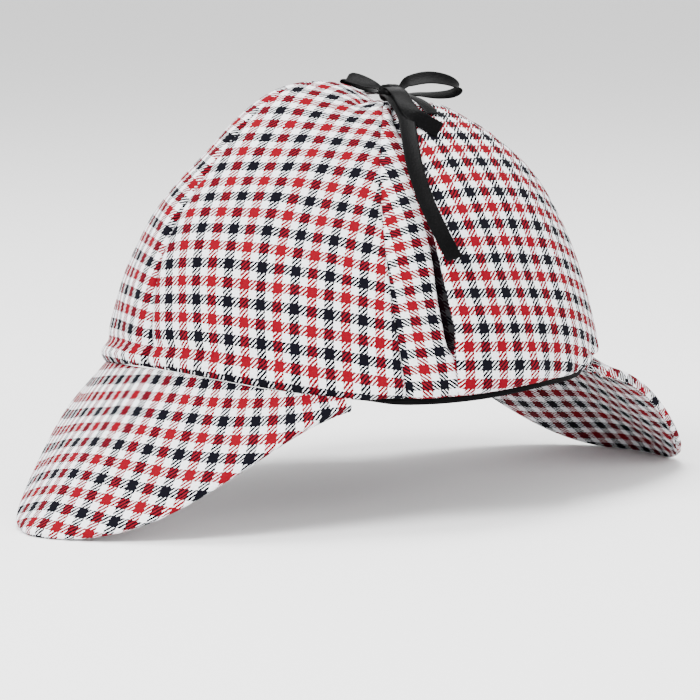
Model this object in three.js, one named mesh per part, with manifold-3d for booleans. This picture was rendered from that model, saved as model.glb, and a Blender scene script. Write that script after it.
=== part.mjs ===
// A soft deerstalker hat of checked cloth, lying on its two peaks with its ear flaps tied up over the crown.
// Millimetres, +Z up. The hat faces -Y, and the wearer's left is +X.
// Every cloth piece is a thin closed panel: one outer surface, one inner surface and the edge between them.
import * as THREE from "three";
import { mergeVertices } from "three/addons/utils/BufferGeometryUtils.js";
import Module from "manifold-3d";

const wasm = await Module();
wasm.setup();

// ---- Crown ----
const HALF_LENGTH = 100; // the opening, from its centre to the front or the back
const HALF_WIDTH = 91;
const RIM_HEIGHT = 49; // the crown's lower edge at the sides, above the ground
const FRONT_ARCH = 9.6; // how much higher that edge runs at the front and at the back
const BACK_ARCH = 7.5;
const ARCH_REACH = 75; // degrees to each side over which an arch fades out
const CROWN_RISE = 105.5; // from the lower edge to the point where the gores meet
const APEX_BACK = 17; // that point lies this far behind the middle
// How full each side stays on its way up: 2 is a plain ellipse, more is squarer, less is steeper.
const FRONT_FULLNESS = 3.2;
const BACK_FULLNESS = 2.2;
const SIDE_FULLNESS = 1.3;
const HUMP = { height: 14.5, forward: 31, length: 36.5, width: 24 }; // the cloth stands up in front of the bow
const PINCH = { depth: 5, radius: 14 }; // and is drawn in under it
const GORE_FLATNESS = 0.2; // 0 is round between the seams, 1 is a straight-sided hexagon
const SEAMS = [0, 65, 115, 180]; // degrees from the front, the same on both sides
const SEAM_GAP = 0.4;
const CLOTH = 2; // the crown's wall, with its lining
const CROWN_TOP_CLIMB = 0.974; // where the gores stop, a few millimetres from the apex

// ---- Sweatband ----
const BAND_THICKNESS = 1.2;
const BAND_CLEARANCE = 0.9;
const BAND_CLIMB = 0.14; // about 28 mm up the wall
const BAND_DROP = { sides: 2.8, peaks: 1.2 }; // how far it shows below the crown

// ---- Peaks ----
const PEAK_THICKNESS = 3.2;
const PEAK_INSET = 0.6; // its root sits just inside and below the crown's edge
const PEAK_DROP = 0.8;
const PEAK_END = 86; // degrees: where the tapering ends are cut off blunt
const TIP_LIFT = 1.3; // the upper surface at the tip, whose lower edge is worn flat on the ground
// spread: degrees that a peak covers to each side; reach: how far its tip is in front of its two ends;
// roundness: 2 is an ellipse seen from above, less is more pointed; waist: how much its sides are drawn in;
// droop: how long the rim stays high before it falls to the tip.
const FRONT_PEAK = { spread: 55, reach: 96.5, roundness: 1.75, waist: 4, droop: 4.2 };
const BACK_PEAK = { spread: 47.5, reach: 96, roundness: 2.1, waist: 0, droop: 3.6 };

// ---- Ear flaps ----
const FLAP_FRONT = 76.5; // degrees from the front
const FLAP_REAR = 144;
const FLAP_REAR_TOP = 122;
const FLAP_TOP_CLIMB = 0.77;
const FLAP_THICKNESS = 2.4;
const FLAP_CLEARANCE = 0.9;
const FLAP_EDGE_LIFT = 3.2; // the front edge stands off the crown low down
const FLAP_FOOT = 0.002; // climb of the folded lower edge, and how much more at the rear corner
const FLAP_FOOT_RISE = 0.02;

// ---- Ribbon bow ----
const RIBBON_WIDTH = 7;
const RIBBON_THICKNESS = 0.8;
const KNOT = { x: 8, y: 14, z: 158, halfX: 4.2, halfY: 4.6, halfZ: 3.3 };

// The middle of the two peaks' tips is the middle of the hat's length.
const tipReach = (peak) => HALF_LENGTH * Math.cos(rad(peak.spread)) + peak.reach;
const CENTRE_SHIFT = (tipReach(FRONT_PEAK) - tipReach(BACK_PEAK)) / 2;

function rad(degrees) {
  return (degrees * Math.PI) / 180;
}

function lerp(from, to, share) {
  return from + (to - from) * share;
}

function smoothstep(from, to, value) {
  const share = Math.min(1, Math.max(0, (value - from) / (to - from)));
  return share * share * (3 - 2 * share);
}

// ---- The crown's surface ----

// Degrees from the front, 0 to 180, for an angle on either side.
function fromFront(angle) {
  const turned = Math.abs(angle) % 360;
  return turned > 180 ? 360 - turned : turned;
}

function rimHeight(angle) {
  const away = fromFront(angle);
  const fade = (distance) => (distance < ARCH_REACH ? Math.cos(rad((distance / ARCH_REACH) * 90)) ** 2 : 0);
  return RIM_HEIGHT + FRONT_ARCH * fade(away) + BACK_ARCH * fade(180 - away);
}

// A gore is drawn in between its two seams, less so at the rim, where the band holds it round.
function goreDraw(angle, rise) {
  const away = fromFront(angle);
  const next = Math.max(1, SEAMS.findIndex((seam) => away <= seam));
  const middle = (SEAMS[next - 1] + SEAMS[next]) / 2;
  const half = (SEAMS[next] - SEAMS[next - 1]) / 2;
  const chord = Math.cos(rad(half)) / Math.cos(rad(Math.min(half, Math.abs(away - middle))));
  const amount = GORE_FLATNESS * Math.min(1, Math.max(0.25, rise / 0.4));
  return 1 - amount * (1 - chord) + amount * 0.07;
}

// angle is in degrees from the front towards the wearer's left; climb runs from 0 at the rim to 1 at the apex.
function crownPoint(angle, climb) {
  const rise = 1 - (1 - climb) ** 2;
  const keep = (fullness) => Math.sqrt(Math.max(0, 1 - rise ** fullness));
  const turn = rad(angle);
  const fullness = Math.cos(turn) > 0 ? FRONT_FULLNESS : BACK_FULLNESS;
  const draw = goreDraw(angle, rise);
  const x = HALF_WIDTH * keep(SIDE_FULLNESS) * draw * Math.sin(turn);
  const y = APEX_BACK * rise ** 2 - HALF_LENGTH * keep(fullness) * draw * Math.cos(turn);
  const hump = HUMP.height * Math.exp(-(((y + HUMP.forward) / HUMP.length) ** 2) - (x / HUMP.width) ** 2);
  const pinch = PINCH.depth * Math.exp(-(x * x + (y - APEX_BACK) ** 2) / PINCH.radius ** 2);
  const foot = rimHeight(angle);
  return new THREE.Vector3(x, y, lerp(foot, RIM_HEIGHT + CROWN_RISE, rise) + hump - pinch);
}

function crownNormal(angle, climb) {
  const step = 0.004;
  const low = Math.max(0, climb - step);
  const across = crownPoint(angle + 1, climb).sub(crownPoint(angle - 1, climb));
  const up = crownPoint(angle, climb + step).sub(crownPoint(angle, low));
  return across.cross(up).normalize();
}

// A point this far outside the crown, or inside where the offset is negative. At the rim it moves level.
function offCrown(angle, climb, offset) {
  const normal = crownNormal(angle, climb);
  normal.z *= Math.min(1, climb / 0.05);
  return crownPoint(angle, climb).addScaledVector(normal, offset);
}

// ---- Closed panels ----

// A thin closed body between two surfaces, each given as a point for (u, v) from 0 to 1. Seen from outside, u runs
// to the right and v upwards. A wrapped panel joins its last column to its first.
function panel(columns, rows, outer, inner, wrapped = false) {
  const across = wrapped ? columns : columns + 1;
  const points = [];
  for (const surface of [outer, inner]) {
    for (let j = 0; j <= rows; j++) {
      for (let i = 0; i < across; i++) points.push(...surface(i / columns, j / rows).toArray());
    }
  }
  const layer = across * (rows + 1);
  const at = (side, i, j) => side * layer + j * across + (i % across);
  const index = [];
  const quad = (a, b, c, d) => index.push(a, b, c, a, c, d);
  for (let j = 0; j < rows; j++) {
    for (let i = 0; i < columns; i++) {
      quad(at(0, i, j), at(0, i + 1, j), at(0, i + 1, j + 1), at(0, i, j + 1));
      quad(at(1, i, j), at(1, i, j + 1), at(1, i + 1, j + 1), at(1, i + 1, j));
    }
  }
  for (let i = 0; i < columns; i++) {
    quad(at(0, i, 0), at(1, i, 0), at(1, i + 1, 0), at(0, i + 1, 0));
    quad(at(0, i, rows), at(0, i + 1, rows), at(1, i + 1, rows), at(1, i, rows));
  }
  for (let j = 0; j < rows && !wrapped; j++) {
    quad(at(0, 0, j), at(0, 0, j + 1), at(1, 0, j + 1), at(1, 0, j));
    quad(at(0, columns, j), at(1, columns, j), at(1, columns, j + 1), at(0, columns, j + 1));
  }
  const geometry = new THREE.BufferGeometry();
  geometry.setAttribute("position", new THREE.Float32BufferAttribute(points, 3));
  geometry.setIndex(index);
  return geometry;
}

// One wedge of the crown between two seams, a hair short of each.
function goreGeometry(start, end) {
  const surface = (offset) => (u, v) => {
    const climb = v * CROWN_TOP_CLIMB;
    const middle = crownPoint((start + end) / 2, climb);
    const radius = Math.hypot(middle.x, middle.y - APEX_BACK * (1 - (1 - climb) ** 2) ** 2);
    const gap = THREE.MathUtils.radToDeg(SEAM_GAP / 2 / Math.max(radius, SEAM_GAP));
    return offCrown(lerp(start + gap, end - gap, u), climb, offset);
  };
  return panel(8, 14, surface(0), surface(-CLOTH));
}

// The black band inside the opening. Its lowest row hangs below the crown's edge, least where a peak is sewn on.
function sweatbandGeometry() {
  const rows = 4;
  const surface = (offset) => (u, v) => {
    const angle = u * 360;
    const point = offCrown(angle, Math.max(0, (v * rows - 1) / (rows - 1)) * BAND_CLIMB, offset);
    if (v > 0) return point;
    const away = fromFront(angle);
    const side = smoothstep(FRONT_PEAK.spread, FRONT_PEAK.spread + 8, away)
      * smoothstep(BACK_PEAK.spread, BACK_PEAK.spread + 8, 180 - away);
    point.z -= lerp(BAND_DROP.peaks, BAND_DROP.sides, side);
    return point;
  };
  const outside = -(CLOTH + BAND_CLEARANCE);
  return panel(72, rows, surface(outside), surface(outside - BAND_THICKNESS), true);
}

// ---- Peaks ----

// A point on a peak's upper surface: psi in degrees from its middle, out from 0 at the root to 1 at the rim.
// end is -1 for the front peak and 1 for the back one.
function peakPoint(peak, end, psi, out) {
  const away = (psi / 90) * peak.spread;
  const angle = end < 0 ? away : 180 - away;
  const root = offCrown(angle, 0, -PEAK_INSET);
  root.z -= PEAK_DROP;
  const cornerAngle = end < 0 ? peak.spread : 180 - peak.spread;
  const cornerHeight = rimHeight(cornerAngle) - PEAK_DROP;
  const along = Math.abs(Math.cos(rad(psi))) ** (2 / peak.roundness);
  const aside = Math.sign(psi) * Math.abs(Math.sin(rad(psi))) ** (2 / peak.roundness);
  const rim = new THREE.Vector3(
    HALF_WIDTH * Math.sin(rad(peak.spread)) * aside - peak.waist * Math.sin(rad(2 * psi)),
    end * (HALF_LENGTH * Math.cos(rad(peak.spread)) + peak.reach * along),
    lerp(TIP_LIFT, cornerHeight, Math.abs(Math.sin(rad(psi))) ** peak.droop),
  );
  return root.lerp(rim, out);
}

function peakGeometry(peak, end) {
  const surface = (depth) => (u, v) => {
    // Seen from outside, v runs up from the rim to the root.
    const psi = end * lerp(PEAK_END, -PEAK_END, u);
    const out = 1 - v;
    const step = 0.02;
    const across = peakPoint(peak, end, psi - end, out).sub(peakPoint(peak, end, psi + end, out));
    const up = peakPoint(peak, end, psi, out - step).sub(peakPoint(peak, end, psi, out + step));
    const normal = across.cross(up).normalize();
    return peakPoint(peak, end, psi, out).addScaledVector(normal, -depth);
  };
  return cutAtGround(panel(28, 6, surface(0), surface(PEAK_THICKNESS)));
}

// ---- Joins and cuts ----

function toSolid(geometry) {
  const bare = geometry.clone();
  bare.deleteAttribute("normal");
  bare.deleteAttribute("uv");
  const merged = mergeVertices(bare, 1e-4);
  return new wasm.Manifold(
    new wasm.Mesh({
      numProp: 3,
      vertProperties: new Float32Array(merged.attributes.position.array),
      triVerts: new Uint32Array(merged.index.array),
    }),
  );
}

function toGeometry(solid) {
  const mesh = solid.getMesh();
  const geometry = new THREE.BufferGeometry();
  geometry.setAttribute("position", new THREE.BufferAttribute(mesh.vertProperties, 3));
  geometry.setIndex(new THREE.BufferAttribute(mesh.triVerts, 1));
  return geometry;
}

// Leaves only what stands above z = 0, which gives the rim a flat place to rest on.
function cutAtGround(geometry) {
  const size = 500;
  const space = new THREE.BoxGeometry(size, size, size).translate(0, 0, size / 2);
  return toGeometry(toSolid(geometry).intersect(toSolid(space)));
}

// ---- Ear flaps ----

// A double layer of cloth folded up over the crown's side, from a folded foot at the rim to a tip by the knot.
function flapGeometry(side) {
  const surface = (thickness) => (u, v) => {
    const back = side > 0 ? u : 1 - u;
    const rear = lerp(FLAP_REAR, FLAP_REAR_TOP, smoothstep(0.45, 1, v));
    const angle = lerp(FLAP_FRONT, rear, back);
    const foot = FLAP_FOOT + FLAP_FOOT_RISE * smoothstep(112, 130, angle);
    const climb = lerp(foot, FLAP_TOP_CLIMB, v);
    const lift = FLAP_EDGE_LIFT * (1 - back) ** 4 * Math.sin(Math.PI * Math.min(1, v / 0.55)) ** 2;
    return offCrown(side * angle, climb, FLAP_CLEARANCE + lift + thickness);
  };
  return panel(10, 13, surface(FLAP_THICKNESS), surface(0));
}

// ---- Ribbon ----

// A flat strip along a smooth line. flats are the directions across the strip, one for each point.
function ribbonGeometry(points, flats, steps) {
  const line = new THREE.CatmullRomCurve3(points);
  const flat = new THREE.CatmullRomCurve3(flats);
  const surface = (side) => (u, v) => {
    const tangent = line.getTangent(v);
    const across = flat.getPoint(v);
    across.addScaledVector(tangent, -across.dot(tangent)).normalize();
    const face = across.clone().cross(tangent);
    return line.getPoint(v)
      .addScaledVector(across, (u - 0.5) * RIBBON_WIDTH)
      .addScaledVector(face, (side * RIBBON_THICKNESS) / 2);
  };
  return panel(1, steps, surface(1), surface(-1));
}

// Rows of [degrees from the front, climb, standoff]: where a strip runs over the crown, and how far off it.
const overCrown = (route) => route.map(([angle, climb, standoff]) => offCrown(angle, climb, standoff));
// The directions across a strip that lies flat on the crown along such a route.
function flatOnCrown(route, points) {
  return route.map(([angle, climb], i) => {
    const along = points[Math.min(i + 1, points.length - 1)].clone().sub(points[Math.max(i - 1, 0)]);
    return along.cross(crownNormal(angle, climb)).normalize();
  });
}
// Rows of [distance out, height] in an upright plane through the knot, heading so many degrees from the front.
const fromKnot = (heading, rows) => rows.map(([distance, height]) => new THREE.Vector3(
  KNOT.x + distance * Math.sin(rad(heading)),
  KNOT.y - distance * Math.cos(rad(heading)),
  KNOT.z + height,
));
const level = (heading, count) => Array(count).fill(
  new THREE.Vector3(Math.cos(rad(heading)), Math.sin(rad(heading)), 0),
);

const REAR_LOOP_HEADING = 150;
const REAR_LOOP = [[5, 2.2], [8, 7], [17, 9.6], [26, 6.6], [29, 2.8], [25.5, 0.6], [19, 0.2], [12, 0], [5.4, -0.6]];
const FRONT_LOOP_HEADING = -72;
const FRONT_LOOP = [[5, 2.2], [9, 5.2], [14, 7.4], [19, 8.2], [20.6, 6.8], [18, 4.8], [12, 2.6], [5.4, 0]];
const LONG_TAIL = [
  [68, 0.8, 4.8], [74, 0.7, 4.8], [74, 0.6, 4.8], [74, 0.513, 4.8],
  [75.5, 0.421, 5], [76.5, 0.368, 5.4], [78, 0.305, 6.4], [79.5, 0.253, 7.2],
];
const SHORT_TAIL = [[72, 0.82, 6.6], [74, 0.755, 6.6], [77, 0.7, 6.6], [82, 0.661, 6.6], [87, 0.626, 6.6]];
const LEFT_TIE = [[92, 0.72, 4.4], [92, 0.77, 4.6], [92, 0.83, 4.6]];
const RIGHT_TIE = [[-92, 0.72, 4.4], [-92, 0.8, 4.6], [-92, 0.9, 4.6], [-80, 0.97, 5]];

function loopGeometry(heading, rows, steps) {
  return ribbonGeometry(fromKnot(heading, rows), level(heading, rows.length), steps);
}

function tailGeometry(route, steps) {
  const points = overCrown(route);
  return ribbonGeometry(points, flatOnCrown(route, points), steps);
}

function bowKnotGeometry() {
  return new THREE.SphereGeometry(1, 14, 9)
    .scale(KNOT.halfX, KNOT.halfY, KNOT.halfZ)
    .translate(KNOT.x, KNOT.y, KNOT.z);
}

// ---- Materials ----

const checkCloth = () => new THREE.MeshStandardMaterial({ color: 0x8f5a62, roughness: 0.95, metalness: 0 });
const blackTape = () => new THREE.MeshStandardMaterial({ color: 0x0d0d0f, roughness: 0.85, metalness: 0 });
const blackSatin = () => new THREE.MeshStandardMaterial({ color: 0x101012, roughness: 0.4, metalness: 0 });

// ---- The hat ----

const hat = new THREE.Group();
hat.position.y = CENTRE_SHIFT;

function add(name, geometry, material) {
  const mesh = new THREE.Mesh(geometry, material);
  mesh.name = name;
  hat.add(mesh);
}

const PLACES = ["front", "side", "back"];
PLACES.forEach((place, i) => {
  add(`gore_${place}_left`, goreGeometry(SEAMS[i], SEAMS[i + 1]), checkCloth());
  add(`gore_${place}_right`, goreGeometry(-SEAMS[i + 1], -SEAMS[i]), checkCloth());
});
add("sweatband", sweatbandGeometry(), blackTape());
add("front_peak", peakGeometry(FRONT_PEAK, -1), checkCloth());
add("back_peak", peakGeometry(BACK_PEAK, 1), checkCloth());
add("ear_flap_left", flapGeometry(1), checkCloth());
add("ear_flap_right", flapGeometry(-1), checkCloth());
add("bow_knot", bowKnotGeometry(), blackSatin());
add("bow_loop_rear", loopGeometry(REAR_LOOP_HEADING, REAR_LOOP, 18), blackSatin());
add("bow_loop_front", loopGeometry(FRONT_LOOP_HEADING, FRONT_LOOP, 16), blackSatin());
add("bow_tail_long", tailGeometry(LONG_TAIL, 16), blackSatin());
add("bow_tail_short", tailGeometry(SHORT_TAIL, 8), blackSatin());
add("tie_left", tailGeometry(LEFT_TIE, 4), blackSatin());
add("tie_right", tailGeometry(RIGHT_TIE, 8), blackSatin());

export default hat;
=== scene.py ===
"""A deerstalker hat of red, black and white checked cloth, lying on its two peaks."""
import math

import bpy
import numpy as np
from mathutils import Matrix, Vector


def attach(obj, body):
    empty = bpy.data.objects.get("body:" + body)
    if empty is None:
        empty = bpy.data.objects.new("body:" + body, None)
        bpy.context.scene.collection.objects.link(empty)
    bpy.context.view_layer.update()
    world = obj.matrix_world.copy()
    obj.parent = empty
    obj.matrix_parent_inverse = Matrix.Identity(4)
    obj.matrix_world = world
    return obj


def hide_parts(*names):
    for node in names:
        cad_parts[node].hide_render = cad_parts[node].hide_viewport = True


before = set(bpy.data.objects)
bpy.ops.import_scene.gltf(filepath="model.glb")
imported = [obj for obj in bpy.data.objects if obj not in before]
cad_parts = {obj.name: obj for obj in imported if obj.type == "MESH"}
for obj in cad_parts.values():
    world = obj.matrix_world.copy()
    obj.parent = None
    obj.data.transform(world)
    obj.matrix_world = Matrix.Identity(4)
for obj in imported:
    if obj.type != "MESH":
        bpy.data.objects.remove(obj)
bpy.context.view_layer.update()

MM = 0.001

# ---- The hat's own sizes, in millimetres and degrees, as its parts are cut ----
HALF_LENGTH, HALF_WIDTH = 100, 91
RIM_HEIGHT = 49
FRONT_ARCH, BACK_ARCH, ARCH_REACH = 9.6, 7.5, 75
CROWN_RISE, APEX_BACK = 105.5, 17
FRONT_FULLNESS, BACK_FULLNESS, SIDE_FULLNESS = 3.2, 2.2, 1.3
HUMP = {"height": 14.5, "forward": 31, "length": 36.5, "width": 24}
PINCH = {"depth": 5, "radius": 14}
GORE_FLATNESS = 0.2
SEAMS = [0, 65, 115, 180]
CLOTH = 2
PEAK_THICKNESS, PEAK_INSET, PEAK_DROP, PEAK_END, TIP_LIFT = 3.2, 0.6, 0.8, 86, 1.3
FRONT_PEAK = {"spread": 55, "reach": 96.5, "roundness": 1.75, "waist": 4, "droop": 4.2}
BACK_PEAK = {"spread": 47.5, "reach": 96, "roundness": 2.1, "waist": 0, "droop": 3.6}
FLAP_FRONT, FLAP_REAR, FLAP_REAR_TOP, FLAP_TOP_CLIMB = 76.5, 144, 122, 0.77
FLAP_THICKNESS, FLAP_CLEARANCE = 2.4, 0.9
SWEATBAND_THICKNESS = 1.3
RIBBON_WIDTH, RIBBON_THICKNESS = 7, 0.45
KNOT = np.array([8, 14, 158.0])
KNOT_HALF_WIDTH, KNOT_HALF_LENGTH, KNOT_HALF_HEIGHT = 4.4, 4.4, 3.3


def tip_reach(peak):
    return HALF_LENGTH * math.cos(math.radians(peak["spread"])) + peak["reach"]


# The hat is centred on its own length, so the crown's middle lies a little off the frame's origin.
CENTRE = np.array([0, (tip_reach(FRONT_PEAK) - tip_reach(BACK_PEAK)) / 2, 0])


# ---- Camera ----
def place_camera(azimuth=49.4, elevation=7.2, distance=1.4, view_width=0.27668, above_rim=0.0077):
    """The lens takes in view_width metres at the distance of the aim, which is a little above the rim."""
    turn, tilt = math.radians(azimuth), math.radians(elevation)
    away = Vector((math.sin(turn) * math.cos(tilt), -math.cos(turn) * math.cos(tilt), math.sin(tilt)))
    up = Vector((-math.sin(turn) * math.sin(tilt), math.cos(turn) * math.sin(tilt), math.cos(tilt)))
    aim = Vector(CENTRE * MM) + Vector((0, 0, RIM_HEIGHT * MM)) + up * above_rim
    bpy.ops.object.camera_add(location=aim + away * distance)
    camera = bpy.context.object
    camera.rotation_euler = (-away).to_track_quat("-Z", "Y").to_euler()
    camera.data.sensor_width = 36
    camera.data.lens = camera.data.sensor_width * distance / view_width
    camera.data.clip_end = 100
    bpy.context.scene.camera = camera


place_camera()


# ---- The crown's surface ----
def smoothstep(start, end, value):
    share = np.clip((value - start) / (end - start), 0, 1)
    return share * share * (3 - 2 * share)


def from_front(angle):
    turned = np.abs(angle) % 360
    return np.where(turned > 180, 360 - turned, turned)


def rim_height(angle):
    away = from_front(angle)

    def fade(distance):
        return np.cos(np.minimum(distance / ARCH_REACH, 1) * math.pi / 2) ** 2

    return RIM_HEIGHT + FRONT_ARCH * fade(away) + BACK_ARCH * fade(180 - away)


def gore_draw(angle, rise):
    """Draws the crown in between the seams' corners, so that each gore is flatter than a round crown."""
    away = from_front(angle)
    low = np.select([away <= SEAMS[1], away <= SEAMS[2]], [SEAMS[0], SEAMS[1]], SEAMS[2])
    high = np.select([away <= SEAMS[1], away <= SEAMS[2]], [SEAMS[1], SEAMS[2]], SEAMS[3])
    half, off = (high - low) / 2, np.abs(away - (low + high) / 2)
    chord = np.cos(np.radians(half)) / np.cos(np.radians(np.minimum(half, off)))
    amount = GORE_FLATNESS * np.clip(rise / 0.4, 0.25, 1)
    return 1 - amount * (1 - chord) + amount * 0.07


def crown(angle, climb):
    """Points of the crown's outside, from degrees towards the wearer's left and 0 at the rim to 1 on top."""
    angle, climb = np.broadcast_arrays(np.asarray(angle, float), np.asarray(climb, float))
    rise = 1 - (1 - climb) ** 2
    turn = np.radians(angle)
    draw = gore_draw(angle, rise)
    fullness = np.where(np.cos(turn) > 0, FRONT_FULLNESS, BACK_FULLNESS)
    wide = HALF_WIDTH * np.sqrt(np.maximum(0, 1 - rise ** SIDE_FULLNESS))
    long = HALF_LENGTH * np.sqrt(np.maximum(0, 1 - rise ** fullness))
    x = wide * draw * np.sin(turn)
    y = APEX_BACK * rise ** 2 - long * draw * np.cos(turn)
    forward = (y + HUMP["forward"]) / HUMP["length"]
    hump = HUMP["height"] * np.exp(-(forward ** 2) - (x / HUMP["width"]) ** 2)
    pinch = PINCH["depth"] * np.exp(-(x ** 2 + (y - APEX_BACK) ** 2) / PINCH["radius"] ** 2)
    foot = rim_height(angle)
    return np.stack([x, y, foot + (RIM_HEIGHT + CROWN_RISE - foot) * rise + hump - pinch], -1)


def unit(vectors):
    return vectors / np.maximum(np.linalg.norm(vectors, axis=-1, keepdims=True), 1e-12)


def crown_normal(angle, climb):
    across = crown(angle + 1, climb) - crown(np.asarray(angle) - 1, climb)
    up = crown(angle, climb + 0.004) - crown(angle, np.maximum(0, np.asarray(climb) - 0.004))
    return unit(np.cross(across, up))


def off_crown(angle, climb, offset):
    """Points held off the crown, level with it at the rim."""
    normal = crown_normal(angle, climb)
    normal[..., 2] *= np.minimum(1, np.asarray(climb) / 0.05)
    return crown(angle, climb) + normal * np.asarray(offset)[..., None]


def soft_waves(points, size, seed):
    """Smooth, shallow unevenness, about -1 to 1, from a few slanting waves."""
    random = np.random.default_rng(seed)
    total = np.zeros(points.shape[:-1])
    for _ in range(7):
        heading = unit(random.normal(size=3))
        length = size * random.uniform(0.7, 1.7)
        total += np.sin(points @ heading * 2 * math.pi / length + random.uniform(0, 6.3))
    return total / 3.5


# ---- Materials ----
def link(tree, value, socket):
    if isinstance(value, bpy.types.NodeSocket):
        tree.links.new(value, socket)
    else:
        socket.default_value = value


def math_node(tree, operation, a, b=0.0):
    node = tree.nodes.new("ShaderNodeMath")
    node.operation = operation
    link(tree, a, node.inputs[0])
    link(tree, b, node.inputs[1])
    return node.outputs[0]


def mix_colour(tree, share, a, b, blend="MIX"):
    node = tree.nodes.new("ShaderNodeMix")
    node.data_type = "RGBA"
    node.blend_type = blend
    link(tree, share, node.inputs[0])
    link(tree, a, node.inputs[6])
    link(tree, b, node.inputs[7])
    return node.outputs[2]


# Thread widths in metres. A dyed stripe is one thread wider than THREADS_A_STRIPE, a white one narrower.
ACROSS_THREAD, ALONG_THREAD = 0.00040, 0.00046
THREADS_A_STRIPE = 8
DYED_EXTRA = 1
RED = (0.16, 0.0008, 0.007, 1)
WHITE = (0.88, 0.89, 0.92, 1)
BLACK = (0.0015, 0.0015, 0.004, 1)


def stripes(tree, thread):
    """The colour of a thread by its number: red, white, black, white, and again."""
    place = math_node(tree, "FLOORED_MODULO", thread, 4 * THREADS_A_STRIPE)
    ramp = tree.nodes.new("ShaderNodeValToRGB")
    ramp.color_ramp.interpolation = "CONSTANT"
    ramp.color_ramp.elements[0].color = RED
    dyed = (THREADS_A_STRIPE + DYED_EXTRA) / (4 * THREADS_A_STRIPE)
    ramp.color_ramp.elements[1].position = dyed
    ramp.color_ramp.elements[1].color = WHITE
    for position, colour in ((0.5, BLACK), (0.5 + dyed, WHITE)):
        ramp.color_ramp.elements.new(position).color = colour
    share = math_node(tree, "DIVIDE", math_node(tree, "ADD", place, 0.5), 4 * THREADS_A_STRIPE)
    tree.links.new(share, ramp.inputs[0])
    return ramp.outputs[0]


def white_thread(tree, thread):
    """1 where the thread lies in a white stripe."""
    place = math_node(tree, "FLOORED_MODULO", thread, 2 * THREADS_A_STRIPE)
    return math_node(tree, "GREATER_THAN", place, THREADS_A_STRIPE + DYED_EXTRA - 0.5)


def weave_group():
    """Cloth place in metres in; the colour, with the round threads' shade painted in, and the height of a
    two-over, two-under twill out.
    """
    group = bpy.data.node_groups.new("checked_twill", "ShaderNodeTree")
    group.interface.new_socket("Place", in_out="INPUT", socket_type="NodeSocketVector")
    group.interface.new_socket("Colour", in_out="OUTPUT", socket_type="NodeSocketColor")
    group.interface.new_socket("Height", in_out="OUTPUT", socket_type="NodeSocketFloat")
    inside, outside = group.nodes.new("NodeGroupInput"), group.nodes.new("NodeGroupOutput")
    wobble = group.nodes.new("ShaderNodeTexNoise")
    wobble.inputs["Scale"].default_value = 90
    group.links.new(inside.outputs[0], wobble.inputs["Vector"])
    shifted = group.nodes.new("ShaderNodeVectorMath")
    shifted.operation = "MULTIPLY_ADD"
    group.links.new(wobble.outputs["Color"], shifted.inputs[0])
    shifted.inputs[1].default_value = (0.0006, 0.0006, 0)
    group.links.new(inside.outputs[0], shifted.inputs[2])
    ragged = group.nodes.new("ShaderNodeTexNoise")
    ragged.inputs["Scale"].default_value = 1100
    group.links.new(inside.outputs[0], ragged.inputs["Vector"])
    roughened = group.nodes.new("ShaderNodeVectorMath")
    roughened.operation = "MULTIPLY_ADD"
    group.links.new(ragged.outputs["Color"], roughened.inputs[0])
    roughened.inputs[1].default_value = (0.0007, 0.0007, 0)
    group.links.new(shifted.outputs[0], roughened.inputs[2])
    split = group.nodes.new("ShaderNodeSeparateXYZ")
    group.links.new(roughened.outputs[0], split.inputs[0])
    across = math_node(group, "DIVIDE", split.outputs[0], ACROSS_THREAD)
    along = math_node(group, "DIVIDE", split.outputs[1], ALONG_THREAD)
    warp, weft = math_node(group, "FLOOR", across), math_node(group, "FLOOR", along)
    # The dyed threads are the thicker ones, so where they cross white they show a little more than half.
    white_warp, white_weft = white_thread(group, warp), white_thread(group, weft)
    step = math_node(group, "FLOORED_MODULO", math_node(group, "SUBTRACT", across, along), 4)
    share = math_node(group, "MULTIPLY", math_node(group, "SUBTRACT", white_weft, white_warp), 0.6)
    over = math_node(group, "LESS_THAN", step, math_node(group, "ADD", share, 2))
    colour = mix_colour(group, over, stripes(group, weft), stripes(group, warp))
    # Painted shade: each thread's colour is lighter along its middle and darker at its sides, as light falls
    # on round threads; the fine fuzz added after is random tone.
    round_warp = math_node(group, "PINGPONG", across, 0.5)
    round_weft = math_node(group, "PINGPONG", along, 0.5)
    height = math_node(group, "ADD", round_warp, round_weft)
    shade = math_node(group, "MULTIPLY_ADD", height, 0.35)
    shade.node.inputs[2].default_value = 0.76
    fuzz = group.nodes.new("ShaderNodeTexNoise")
    fuzz.inputs["Scale"].default_value = 1500
    group.links.new(inside.outputs[0], fuzz.inputs["Vector"])
    lighter = math_node(group, "MULTIPLY_ADD", fuzz.outputs[0], 0.5)
    lighter.node.inputs[2].default_value = -0.25
    bright = group.nodes.new("ShaderNodeHueSaturation")
    group.links.new(math_node(group, "ADD", shade, lighter), bright.inputs["Value"])
    group.links.new(colour, bright.inputs["Color"])
    group.links.new(bright.outputs[0], outside.inputs[0])
    group.links.new(height, outside.inputs[1])
    return group


def start_material(name):
    material = bpy.data.materials.new(name)
    material.use_nodes = True
    return material, material.node_tree, material.node_tree.nodes["Principled BSDF"]


def bump(tree, height, strength, distance, socket):
    node = tree.nodes.new("ShaderNodeBump")
    node.inputs["Strength"].default_value = strength
    node.inputs["Distance"].default_value = distance
    tree.links.new(height, node.inputs["Height"])
    tree.links.new(node.outputs[0], socket)


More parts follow.
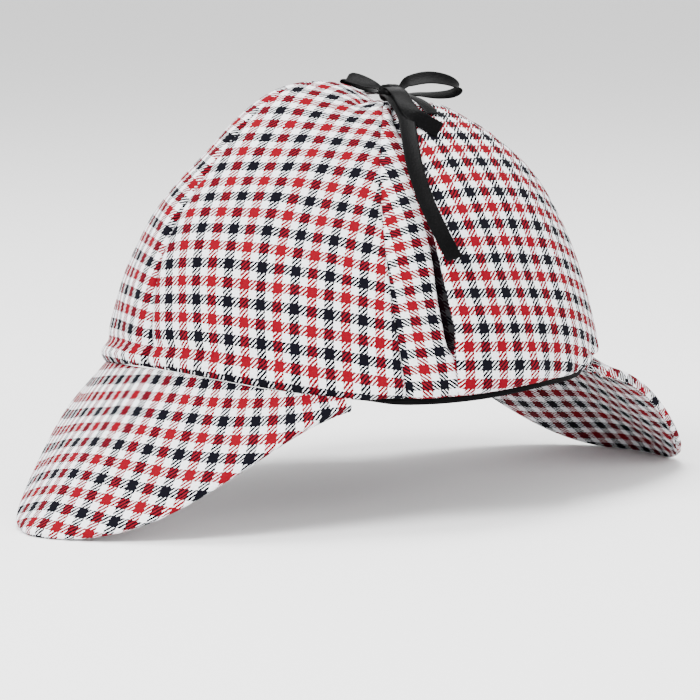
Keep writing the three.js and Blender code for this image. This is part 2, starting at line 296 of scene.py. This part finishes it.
def check_cloth():
    material, tree, shader = start_material("check_cloth")
    place = tree.nodes.new("ShaderNodeUVMap")
    place.uv_map = "cloth"
    weave = tree.nodes.new("ShaderNodeGroup")
    weave.node_tree = weave_group()
    tree.links.new(place.outputs[0], weave.inputs[0])
    # Painted shade: the cloth's colour is mixed towards black in the slit's hollow under the flap, as much
    # as the vertex attribute says.
    painted_shade = tree.nodes.new("ShaderNodeAttribute")
    painted_shade.attribute_name = "painted_shade"
    shade = math_node(tree, "MINIMUM", math_node(tree, "MULTIPLY", painted_shade.outputs["Fac"], 3), 0.95)
    tree.links.new(mix_colour(tree, shade, weave.outputs[0], BLACK), shader.inputs["Base Color"])
    shader.inputs["Roughness"].default_value = 0.95
    shader.inputs["Specular IOR Level"].default_value = 0.08
    bump(tree, weave.outputs[1], 0.35, 0.0002, shader.inputs["Normal"])
    return material


def black_tape():
    material, tree, shader = start_material("black_tape")
    place = tree.nodes.new("ShaderNodeTexCoord")
    ribs = tree.nodes.new("ShaderNodeTexWave")
    ribs.bands_direction = "Z"
    ribs.inputs["Scale"].default_value = 320
    tree.links.new(place.outputs["Object"], ribs.inputs["Vector"])
    colour = mix_colour(tree, ribs.outputs[1], (0.0004, 0.0004, 0.0005, 1), (0.002, 0.002, 0.0023, 1))
    tree.links.new(colour, shader.inputs["Base Color"])
    shader.inputs["Roughness"].default_value = 0.85
    shader.inputs["Specular IOR Level"].default_value = 0.06
    bump(tree, ribs.outputs[1], 0.3, 0.0002, shader.inputs["Normal"])
    return material


def black_satin():
    material, tree, shader = start_material("black_ribbon")
    place = tree.nodes.new("ShaderNodeTexCoord")
    grain = tree.nodes.new("ShaderNodeTexNoise")
    grain.inputs["Scale"].default_value = 1400
    grain.inputs["Detail"].default_value = 3
    tree.links.new(place.outputs["Object"], grain.inputs["Vector"])
    colour = mix_colour(tree, grain.outputs[0], (0.0001, 0.0001, 0.0001, 1), (0.0035, 0.0035, 0.0038, 1))
    tree.links.new(colour, shader.inputs["Base Color"])
    shader.inputs["Roughness"].default_value = 0.33
    shader.inputs["Specular IOR Level"].default_value = 0.03
    bump(tree, grain.outputs[0], 0.5, 0.0003, shader.inputs["Normal"])
    return material


CHECK, TAPE, SATIN = check_cloth(), black_tape(), black_satin()


# ---- Making a panel ----
def select_only(ob):
    bpy.ops.object.select_all(action="DESELECT")
    ob.select_set(True)
    bpy.context.view_layer.objects.active = ob


def apply_modifier(ob, kind, **settings):
    select_only(ob)
    modifier = ob.modifiers.new(kind.lower(), kind)
    for key, value in settings.items():
        setattr(modifier, key, value)
    bpy.ops.object.modifier_apply(modifier=modifier.name)


def wrap_edges(mesh, outside, thickness):
    """Carries the cloth on round the wall's edge, and keeps the painted shade off the inner face."""
    layer = mesh.uv_layers[0].data
    middle = np.mean([layer[i].uv for i in range(0, len(layer), 7)], axis=0)
    for face in mesh.polygons:
        inner = [i for i in face.loop_indices if mesh.loops[i].vertex_index >= outside]
        if inner and len(inner) < len(face.loop_indices):
            for i in inner:
                away = np.array(layer[i].uv) - middle
                layer[i].uv = np.array(layer[i].uv) + away / np.linalg.norm(away) * thickness
    if "painted_shade" in mesh.attributes:
        for value in mesh.attributes["painted_shade"].data[outside:]:
            value.value = 0


def panel(name, columns, rows, surface, thickness, material,
          cloth_place=None, unrolled=None, painted_shade=None, wrapped=False):
    """A grid shaped to surface(u, v), in millimetres, made a wall of that thickness, with soft edges.

    cloth_place(u, v) gives each point's place in the flat cloth, in millimetres, or unrolled says how the
    finished grid is laid flat. The painted shade, a function of (u, v), is how much shade is painted into
    the cloth's colour, and a wrapped grid closes on itself.
    """
    bpy.ops.mesh.primitive_grid_add(x_subdivisions=columns, y_subdivisions=rows, size=2)
    ob = bpy.context.object
    ob.name = ob.data.name = name
    mesh = ob.data
    flat = np.empty(len(mesh.vertices) * 3)
    mesh.vertices.foreach_get("co", flat)
    u, v = (flat.reshape(-1, 3)[:, :2].T + 1) / 2
    mesh.vertices.foreach_set("co", ((surface(u, v) + CENTRE) * MM).ravel())
    layer = mesh.uv_layers[0]
    layer.name = "cloth"
    corner = np.empty(len(mesh.loops), int)
    mesh.loops.foreach_get("vertex_index", corner)
    place = (cloth_place or (lambda u, v: np.stack([u, v], -1)))(u, v)
    layer.data.foreach_set("uv", (place * MM)[corner].ravel())
    if painted_shade:
        mesh.attributes.new("painted_shade", "FLOAT", "POINT").data.foreach_set("value", painted_shade(u, v))
    if unrolled:
        unroll(ob, rows + 1, **unrolled)
    if wrapped:
        select_only(ob)
        bpy.ops.object.mode_set(mode="EDIT")
        bpy.ops.mesh.select_all(action="SELECT")
        bpy.ops.mesh.remove_doubles(threshold=1e-6)
        bpy.ops.object.mode_set(mode="OBJECT")
    outside = len(mesh.vertices)
    apply_modifier(ob, "SOLIDIFY", thickness=thickness * MM, offset=-1, use_even_offset=False)
    wrap_edges(mesh, outside, thickness * MM)
    apply_modifier(ob, "SUBSURF", levels=1, render_levels=1)
    select_only(ob)
    bpy.ops.object.shade_smooth()
    mesh.materials.append(material)
    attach(ob, "root")
    return ob


def unroll(ob, rows, middle, lean=0, shift=(0, 0), scale=(1, 1)):
    """Lays the grid flat as real cloth, with its line at u = middle upright, then turned by lean degrees."""
    select_only(ob)
    bpy.ops.object.mode_set(mode="EDIT")
    bpy.ops.mesh.select_all(action="SELECT")
    bpy.ops.uv.unwrap(method="MINIMUM_STRETCH", margin=0)
    bpy.ops.object.mode_set(mode="OBJECT")
    mesh = ob.data
    corner = np.empty(len(mesh.loops), int)
    mesh.loops.foreach_get("vertex_index", corner)
    flat = np.empty(len(corner) * 2)
    mesh.uv_layers[0].data.foreach_get("uv", flat)
    flat = flat.reshape(-1, 2)
    quads = flat.reshape(-1, 4, 2)
    first, second = quads[:, 2] - quads[:, 0], quads[:, 3] - quads[:, 1]
    flat_area = abs(np.sum(first[:, 0] * second[:, 1] - first[:, 1] * second[:, 0])) / 2
    flat *= math.sqrt(sum(face.area for face in mesh.polygons) / flat_area)
    place = np.empty((len(mesh.vertices), 2))
    place[corner] = flat
    columns = round(len(mesh.vertices) / rows) - 1
    low = round(middle * columns)
    high = low + (rows - 1) * (columns + 1)
    up = (place[high] - place[low]) / np.linalg.norm(place[high] - place[low])
    cosine, sine = math.cos(math.radians(lean)), math.sin(math.radians(lean))
    up = np.array([up[0] * cosine - up[1] * sine, up[0] * sine + up[1] * cosine])
    place = place - (place[high] + place[low]) / 2
    place = np.stack([place @ [up[1], -up[0]], place @ up], -1) * scale + np.array(shift) * MM
    mesh.uv_layers[0].data.foreach_set("uv", place[corner].ravel())


def keep_above_ground(ob, height=0.0001):
    for vertex in ob.data.vertices:
        vertex.co.z = max(vertex.co.z, height)


# ---- Crown ----
ROWS_OF_CLIMB = np.linspace(0, 0.99, 120)
GORE_TOP, SEAM_OVERLAP = 0.986, 0.7
PHASE = {"front": (7.4, 7.8), "side": (5.0, 2.0), "back": (2.0, 7.0)}  # where the check starts in each gore


class ClothOnCrown:
    """Unrolls a wedge of the crown about its middle line, so that the check runs straight along it."""

    REACH, COLUMNS = 75, 60  # degrees either side of the middle line, and the steps over both sides

    def __init__(self, start, end, shift=(0, 0)):
        self.middle, self.shift = (start + end) / 2, shift
        line = crown(self.middle, ROWS_OF_CLIMB)
        steps = np.linalg.norm(np.diff(line, axis=0), axis=1)
        self.length = np.concatenate([[0], np.cumsum(steps)])
        angles = np.linspace(-self.REACH, self.REACH, self.COLUMNS + 1)
        rings = crown(self.middle + angles[None, :], ROWS_OF_CLIMB[:, None])
        hops = np.linalg.norm(np.diff(rings, axis=1), axis=2)
        run = np.concatenate([np.zeros((len(rings), 1)), np.cumsum(hops, axis=1)], axis=1)
        centre, quarter = self.COLUMNS // 2, self.COLUMNS // 4
        self.width = run - run[:, centre:centre + 1]
        # How sharply a level ring turns within the cloth, from how its width shrinks on the way up.
        half = self.width[:, centre + quarter] - self.width[:, centre - quarter]
        sharpest = 0.009 - 0.007 * smoothstep(0.35, 0.7, ROWS_OF_CLIMB)
        self.bend = np.clip(-np.gradient(half, self.length) / np.maximum(half, 1), 0, sharpest)

    def up(self, climb):
        return np.interp(climb, ROWS_OF_CLIMB, self.length)

    def across(self, angle, climb):
        row = np.interp(climb, ROWS_OF_CLIMB, np.arange(len(ROWS_OF_CLIMB)))
        low = np.minimum(row.astype(int), len(ROWS_OF_CLIMB) - 2)
        part = row - low
        column = (angle - self.middle + self.REACH) * self.COLUMNS / (2 * self.REACH)
        column = np.clip(column, 0, self.COLUMNS - 0.001)
        left, share = column.astype(int), column - column.astype(int)

        def at(r):
            return self.width[r, left] * (1 - share) + self.width[r, left + 1] * share

        return at(low) * (1 - part) + at(low + 1) * part

    def place(self, angle, climb):
        across = self.across(angle, climb)
        bend = np.interp(climb, ROWS_OF_CLIMB, self.bend)
        # High on the crown the check keeps level, although the crown's own rings rise over the front.
        level = (crown(angle, climb) - crown(self.middle, climb))[..., 2] * smoothstep(0.25, 0.6, climb)
        along = self.up(climb) + level + bend * across ** 2 / 2
        return np.stack([across, along], -1) + self.shift


def hem_rise(angle, up):
    """The hem lies a little higher under the ear flaps."""
    return 2.2 * np.exp(-(((from_front(angle) - 108) / 19) ** 2)) * np.exp(-((up / 14) ** 2))


def crown_relief(points, angle, to_edge, up):
    """What sewing and handling do to the cloth, in millimetres outwards."""
    inside, beyond = np.maximum(to_edge, 0), np.minimum(to_edge, 0)
    seam = -0.9 * np.exp(-((inside / 1.5) ** 2)) - 0.5 * np.exp(-((inside / 6.0) ** 2)) + 1.6 * beyond
    hem = -0.9 * np.exp(-((up / 1.4) ** 2)) + 0.7 * np.exp(-(((up - 5.0) / 3.5) ** 2))
    front = np.exp(-((from_front(angle) / 48) ** 4))
    fold = front * (2.3 * np.exp(-(((up - 3.6) / 2.8) ** 2)) - 1.9 * np.exp(-(((up - 8.4) / 1.5) ** 2)))
    gusset = -1.5 * np.exp(-(((from_front(angle) - 74.6) / 0.8) ** 2)) * (1 - smoothstep(7, 12, up))
    aside, behind = points[..., 0] - KNOT[0], points[..., 1] - KNOT[1]
    radius, turn = np.hypot(aside, behind), np.arctan2(aside, behind)
    crease = np.abs(np.sin(turn * 4 + 0.9 * np.sin(turn * 3) + radius / 40)) ** 0.7
    pucker = (crease - 0.6) * 5.0 * np.exp(-(((radius - 17) / 13) ** 2))
    waves = 0.75 * soft_waves(points, 55, 3) + 0.4 * soft_waves(points, 22, 8)
    return seam + hem + fold + gusset + pucker + waves * np.clip(to_edge / 8, 0, 1)


def slit(v):
    """How far the flap's front edge gapes, 0 to 1: a long wedge, closed again just above the hem."""
    return np.clip((0.49 - v) / 0.34, 0, 1) * smoothstep(0.10, 0.145, v)


SINK = 6  # how far the crown lies back behind the flap's gaping edge


def under_flap(angle, climb):
    """Where the crown sinks away behind the flap's gaping edge, 0 to 1, and how strongly shade is painted
    into the cloth there.
    """
    away = from_front(angle)
    return slit(climb / FLAP_TOP_CLIMB) * smoothstep(75.7, 76.8, away) * (1 - smoothstep(85, 94, away))


def make_gore(place, hand, start, end):
    """The side gores' cloth lies with its warp level, the others' with its warp upright."""
    name = f"gore_{place}_{hand}"
    side_ways = place == "side"
    cloth = ClothOnCrown(start, end, PHASE[place])

    def angles(u, v):
        # Each edge runs a little past the seam, so that two gores meet in a closed valley.
        climb = v * GORE_TOP
        rise = 1 - (1 - climb) ** 2
        ring = crown(cloth.middle, climb)
        radius = np.hypot(ring[..., 0], ring[..., 1] - APEX_BACK * rise ** 2)
        past = np.degrees(SEAM_OVERLAP / np.maximum(radius, 4))
        return start - past + (end - start + 2 * past) * u, climb

    def surface(u, v):
        angle, climb = angles(u, v)
        points = crown(angle, climb)
        across = cloth.across(angle, climb)
        to_edge = np.minimum(across - cloth.across(np.full_like(angle, start), climb),
                             cloth.across(np.full_like(angle, end), climb) - across)
        up = cloth.up(climb)
        relief = crown_relief(points, angle, to_edge, up)
        points = off_crown(angle, climb, relief - SINK * under_flap(angle, climb))
        # Over the two peaks the hem comes down onto them.
        away = from_front(angle)
        over_peak = 1 - smoothstep(FRONT_PEAK["spread"], FRONT_PEAK["spread"] + 6, away)
        over_peak = over_peak + 1 - smoothstep(BACK_PEAK["spread"], BACK_PEAK["spread"] + 6, 180 - away)
        points[..., 2] += hem_rise(angle, up) - 1.3 * over_peak * np.exp(-((up / 2.5) ** 2))
        return points

    def cloth_place(u, v):
        flat = cloth.place(*angles(u, v))
        return flat[:, ::-1] * [1, -1] if side_ways else flat

    # Painted shade: how dark the cloth is painted in the slit's hollow under the flap.
    def shade(u, v):
        return under_flap(*angles(u, v))

    columns = 72 if side_ways else 44
    gore = panel(name + "_cloth", columns, 72, surface, CLOTH, CHECK, cloth_place, painted_shade=shade)
    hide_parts(name)


# ---- Sweatband ----
def make_sweatband():
    def surface(u, v):
        angle, drop = u * 360, np.clip((0.25 - v) / 0.25, 0, 1)
        climb = np.maximum(0, (v - 0.25) / 0.75) * 0.14
        points = off_crown(angle, climb, -2.7 - (SINK + 1.8) * under_flap(angle, climb))
        points[..., 2] += hem_rise(angle, climb * 100)
        away = from_front(angle)
        side = smoothstep(FRONT_PEAK["spread"], FRONT_PEAK["spread"] + 8, away)
        side = side * smoothstep(BACK_PEAK["spread"], BACK_PEAK["spread"] + 8, 180 - away)
        points[..., 2] -= drop * (1.2 + 1.1 * side)
        return points

    band = panel("sweatband_tape", 144, 12, surface, SWEATBAND_THICKNESS, TAPE, wrapped=True)
    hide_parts("sweatband")


# ---- Peaks ----
def peak_points(peak, end, psi, out):
    """psi runs from -90 to 90 degrees round the peak, and out from 0 at the crown to 1 at the rim."""
    away = psi / 90 * peak["spread"]
    angle = away if end < 0 else 180 - away
    root = off_crown(angle, np.zeros_like(angle), np.full_like(angle, -PEAK_INSET))
    root[..., 2] -= 0.3
    corner = rim_height(np.array(peak["spread"] if end < 0 else 180 - peak["spread"])) - PEAK_DROP
    turn = np.radians(psi)
    along = np.abs(np.cos(turn)) ** (2 / peak["roundness"])
    aside = np.sign(psi) * np.abs(np.sin(turn)) ** (2 / peak["roundness"])
    x = HALF_WIDTH * math.sin(math.radians(peak["spread"])) * aside - peak["waist"] * np.sin(2 * turn)
    y = end * (HALF_LENGTH * math.cos(math.radians(peak["spread"])) + peak["reach"] * along)
    z = TIP_LIFT + (corner - TIP_LIFT) * np.abs(np.sin(turn)) ** peak["droop"]
    rim = np.stack([x, y, z], -1)
    return root + (rim - root) * out[..., None]


def make_peak(name, peak, end, flare, grain, seed):
    def angles(u, v):
        # More columns near the ends, where the rim turns up to the crown.
        return end * PEAK_END * np.sin((0.5 - u) * math.pi) * 0.999, 1 - v

    def bare(psi, out):
        return peak_points(peak, end, psi, np.clip(out, 0, 1))

    def surface(u, v):
        psi, out = angles(u, v)
        points = bare(psi, out)
        across = bare(psi - end, out) - bare(psi + end, out)
        up = bare(psi, np.maximum(0, out - 0.03)) - bare(psi, np.maximum(0.03, out))
        normal = unit(np.cross(across, up))
        length = np.linalg.norm(bare(psi, np.ones_like(out)) - bare(psi, np.zeros_like(out)), axis=-1)
        to_rim = (1 - out) * length
        arch = 0.7 * np.sin(math.pi * out) * np.minimum(1, length / 40)
        points[:, 1] += end * flare * out ** 3 * np.cos(np.radians(psi)) ** 2
        edge = -1.1 * np.exp(-((to_rim / 1.8) ** 2)) - 0.35 * np.exp(-(((to_rim - 6.5) / 1.0) ** 2))
        waves = 0.5 * soft_waves(points, 48, seed) + 0.15 * soft_waves(points, 20, seed + 1)
        return points + normal * (arch + edge + waves * np.minimum(1, to_rim / 10))[..., None]

    ob = panel(name + "_cloth", 84, 40, surface, PEAK_THICKNESS, CHECK, unrolled={"middle": 0.5, **grain})
    keep_above_ground(ob)
    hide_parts(name)


# ---- Ear flaps ----
def make_flap(hand, side, shift):
    name = f"ear_flap_{hand}"
    cloth = ClothOnCrown(side * FLAP_FRONT, side * FLAP_REAR)

    def rear_edge(v):
        return FLAP_REAR + (FLAP_REAR_TOP - FLAP_REAR) * smoothstep(0.45, 1, v)

    def angles(u, v):
        back = u if side > 0 else 1 - u
        front = FLAP_FRONT + 0.3 * slit(v)
        angle = front + (rear_edge(v) - front) * back
        foot = 0.002 + 0.02 * smoothstep(112, 130, angle)
        return side * angle, foot + (FLAP_TOP_CLIMB + 0.02 - foot) * v, back

    def surface(u, v):
        angle, climb, back = angles(u, v)
        points = crown(angle, climb)
        lift = 2.0 * (1 - back) ** 5 * slit(v) + 1.0 * (1 - back) ** 3 * smoothstep(0.0, 0.1, v)
        ring = np.hypot(points[:, 0], points[:, 1] - APEX_BACK)
        to_side = np.minimum(back, 1 - back) * np.radians(rear_edge(v) - FLAP_FRONT) * ring
        up = cloth.up(climb)
        edge = -1.2 * np.exp(-((to_side / 1.6) ** 2)) - 1.6 * np.exp(-((up / 2.2) ** 2))
        belly = 0.5 * np.sin(math.pi * back * 1.5) * np.sin(math.pi * np.clip(v, 0, 1)) ** 0.7
        near_hem = np.exp(-(((up - 5) / 5) ** 2)) * smoothstep(0.1, 0.3, back)
        lumps = 0.9 * np.sin(angle * 0.42 + 2 * np.sin(angle * 0.11)) * near_hem
        waves = 0.6 * soft_waves(points, 60, 21) + 0.2 * soft_waves(points, 24, 22)
        stand = FLAP_CLEARANCE + FLAP_THICKNESS - 0.3 + lift + edge + belly + lumps
        points = off_crown(angle, climb, stand + waves * np.clip(to_side / 8, 0, 1))
        points[..., 2] += hem_rise(angle, up)
        return points

    grain = {"middle": 0.22 if side > 0 else 0.78, "lean": 4 * side, "shift": shift, "scale": (0.82, 1.04)}
    flap = panel(name + "_cloth", 56, 64, surface, FLAP_THICKNESS, CHECK, unrolled=grain)
    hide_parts(name)


# ---- Ribbon ----
def smooth_line(points, steps):
    """A smooth curve through the points, evenly stepped between each two."""
    points = np.asarray(points, float)
    padded = np.concatenate([[2 * points[0] - points[1]], points, [2 * points[-1] - points[-2]]])
    out = []
    for a, b, c, d in zip(padded, padded[1:], padded[2:], padded[3:]):
        square, cube = 2 * a - 5 * b + 4 * c - d, 3 * b - a - 3 * c + d
        for t in np.arange(steps) / steps:
            out.append(0.5 * (2 * b + (c - a) * t + square * t * t + cube * t ** 3))
    return np.array(out + [points[-1]])


# Each row of a loop is how far out from the knot and how far up, and each tilt is how far the ribbon leans.
REAR_LOOP_HEADING, FRONT_LOOP_HEADING = 150, -72
REAR_LOOP = [[4, 1.8], [7.5, 4.4], [15.5, 5.9], [23.5, 4.6], [27.6, 1.8],
             [24.5, -0.4], [18, -1.0], [11, -0.6], [5.4, -0.7]]
FRONT_LOOP = [[5, 1.6], [9, 3.0], [14, 4.6], [18.6, 5.6], [20.6, 4.8], [18.4, 3.6], [12, 1.9], [5.4, 0]]
REAR_TILT = [10, 35, 42, 38, 30, 25, 20, 10, 0]
FRONT_TILT = [0, -20, -30, -30, -25, -20, -10, 0]

# Each row of a tail or a tie is its angle, its climb and its height off the crown.
LONG_TAIL = [
    [68, 0.8, 4.8], [74, 0.7, 4.8], [74, 0.6, 4.8], [74, 0.513, 4.8],
    [75, 0.421, 5.4], [75.8, 0.368, 6.4], [77, 0.305, 8], [78.4, 0.253, 9],
]
SHORT_TAIL = [[72, 0.82, 6.6], [74, 0.755, 6.6], [77, 0.7, 6.6], [82, 0.661, 6.6], [87, 0.626, 6.6]]
LEFT_TIE = [[92, 0.72, 4.4], [92, 0.77, 4.6], [92, 0.83, 4.6]]
RIGHT_TIE = [[-92, 0.72, 4.4], [-92, 0.8, 4.6], [-92, 0.9, 4.6], [-80, 0.97, 5]]


def over_crown(route, turned=0):
    """The ribbon's line and its flat direction; turned is how far its face leaves the crown's own."""
    angle, climb, offset = np.array(route, float).T
    points = off_crown(angle, climb, offset)
    along = unit(np.gradient(points, axis=0))
    face = crown_normal(angle, climb) * (1 - turned) + turned * np.array([0.76, -0.64, 0.1])
    return points, unit(np.cross(along, face))


def loop_points(heading, rows, tilt):
    turn = math.radians(heading)
    out = np.array([math.sin(turn), -math.cos(turn), 0])
    rows = np.array(rows, float)
    points = KNOT + rows[:, :1] * out + rows[:, 1:] * [0, 0, 1]
    level = np.array([math.cos(turn), math.sin(turn), 0])
    lean = np.radians(np.array(tilt, float))[:, None]
    return points, level * np.cos(lean) + np.array([0, 0, 1]) * np.sin(lean)


def through_knot(height):
    return KNOT[None, :] + np.array([[0, 0, height]]), np.array([[0.0, 1.0, 0.0]])


def ribbon(name, stretches, nodes):
    """One ribbon from a flap's tip through the knot, round its loop, through the knot again to its tail."""
    points = np.concatenate([p for p, _ in stretches])
    flats = np.concatenate([f for _, f in stretches])
    for i in range(1, len(flats)):
        if flats[i] @ flats[i - 1] < 0:
            flats[i] = -flats[i]
    line, flat = smooth_line(points, 8), smooth_line(flats, 8)
    along = unit(np.gradient(line, axis=0))
    flat = unit(flat - along * np.sum(flat * along, axis=1, keepdims=True))
    face = np.cross(flat, along)
    rows = len(line) - 1

    def surface(u, v):
        row = np.rint(v * rows).astype(int)
        aside = (u - 0.5) * RIBBON_WIDTH
        arch = 0.1 + 0.35 * (1 - (2 * u - 1) ** 2)
        return line[row] + flat[row] * aside[:, None] + face[row] * arch[:, None]

    ob = panel(name, 6, rows, surface, RIBBON_THICKNESS, SATIN)
    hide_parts(*nodes)


def make_knot():
    bpy.ops.mesh.primitive_uv_sphere_add(segments=64, ring_count=32, radius=1)
    ob = bpy.context.object
    ob.name = ob.data.name = "bow_knot_satin"
    for vertex in ob.data.vertices:
        x, y, z = vertex.co
        wrap = math.atan2(z, x)
        fold = 1 + 0.07 * math.sin(5 * y * 2.2 + 1.5 * math.sin(wrap)) - 0.12 * y * y
        boxy = (abs(x) ** 3 + abs(z) ** 3) ** (-1 / 3) if abs(x) + abs(z) > 0.3 else 1.2
        side = min(boxy, 1.25) * fold
        at = np.array([x * KNOT_HALF_WIDTH * side, y * KNOT_HALF_LENGTH, z * KNOT_HALF_HEIGHT * side])
        vertex.co = Vector(((KNOT + CENTRE + at) * MM).tolist())
    select_only(ob)
    bpy.ops.object.shade_smooth()
    ob.data.materials.append(SATIN)
    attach(ob, "root")
    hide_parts("bow_knot")
    return ob


# ---- The hat, piece by piece ----
for i, place in enumerate(("front", "side", "back")):
    make_gore(place, "left", SEAMS[i], SEAMS[i + 1])
    make_gore(place, "right", -SEAMS[i + 1], -SEAMS[i])
make_sweatband()
make_peak("front_peak", FRONT_PEAK, -1, 2.2, {"lean": 5, "shift": (-5.2, 5.2), "scale": (1, 0.95)}, 31)
make_peak("back_peak", BACK_PEAK, 1, 3, {"scale": (0.9, 0.9)}, 41)
make_flap("left", 1, (-3.5, 7.6))
make_flap("right", -1, (3.5, 7.6))

knot = make_knot()
rear_loop = loop_points(REAR_LOOP_HEADING, REAR_LOOP, REAR_TILT)
front_loop = loop_points(FRONT_LOOP_HEADING, FRONT_LOOP, FRONT_TILT)
left_ribbon = [over_crown(LEFT_TIE), through_knot(1.0), rear_loop, through_knot(-1.0),
               over_crown(LONG_TAIL, 0.35)]
right_ribbon = [over_crown(RIGHT_TIE), through_knot(-0.4), front_loop, through_knot(2.2),
                over_crown(SHORT_TAIL, 0.6)]
ribbon("ribbon_left", left_ribbon, ["tie_left", "bow_loop_rear", "bow_tail_long"])
ribbon("ribbon_right", right_ribbon, ["tie_right", "bow_loop_front", "bow_tail_short"])


# ---- Floor and light ----
def make_floor():
    bpy.ops.mesh.primitive_plane_add(size=40)
    floor = bpy.context.object
    floor.name = "floor"
    material, _, shader = start_material("pale_floor")
    shader.inputs["Base Color"].default_value = (0.93, 0.93, 0.93, 1)
    shader.inputs["Roughness"].default_value = 0.8
    floor.data.materials.append(material)


def make_light(name, position, size, power):
    bpy.ops.object.light_add(type="AREA", location=position)
    lamp = bpy.context.object
    lamp.name = name
    lamp.data.size = size
    lamp.data.energy = power
    lamp.rotation_euler = (Vector((0, 0, 0.08)) - Vector(position)).to_track_quat("-Z", "Y").to_euler()


def make_world():
    world = bpy.data.worlds.new("studio")
    bpy.context.scene.world = world
    world.use_nodes = True
    world.node_tree.nodes["Background"].inputs["Color"].default_value = (1, 1, 1, 1)
    world.node_tree.nodes["Background"].inputs["Strength"].default_value = 1.35


make_floor()
make_world()
make_light("key", (0.3, -1.6, 1.5), 0.9, 92)
make_light("fill", (1.9, 0.3, 0.8), 1.2, 26)
make_light("top", (-0.3, 0.3, 2.0), 1.0, 48)
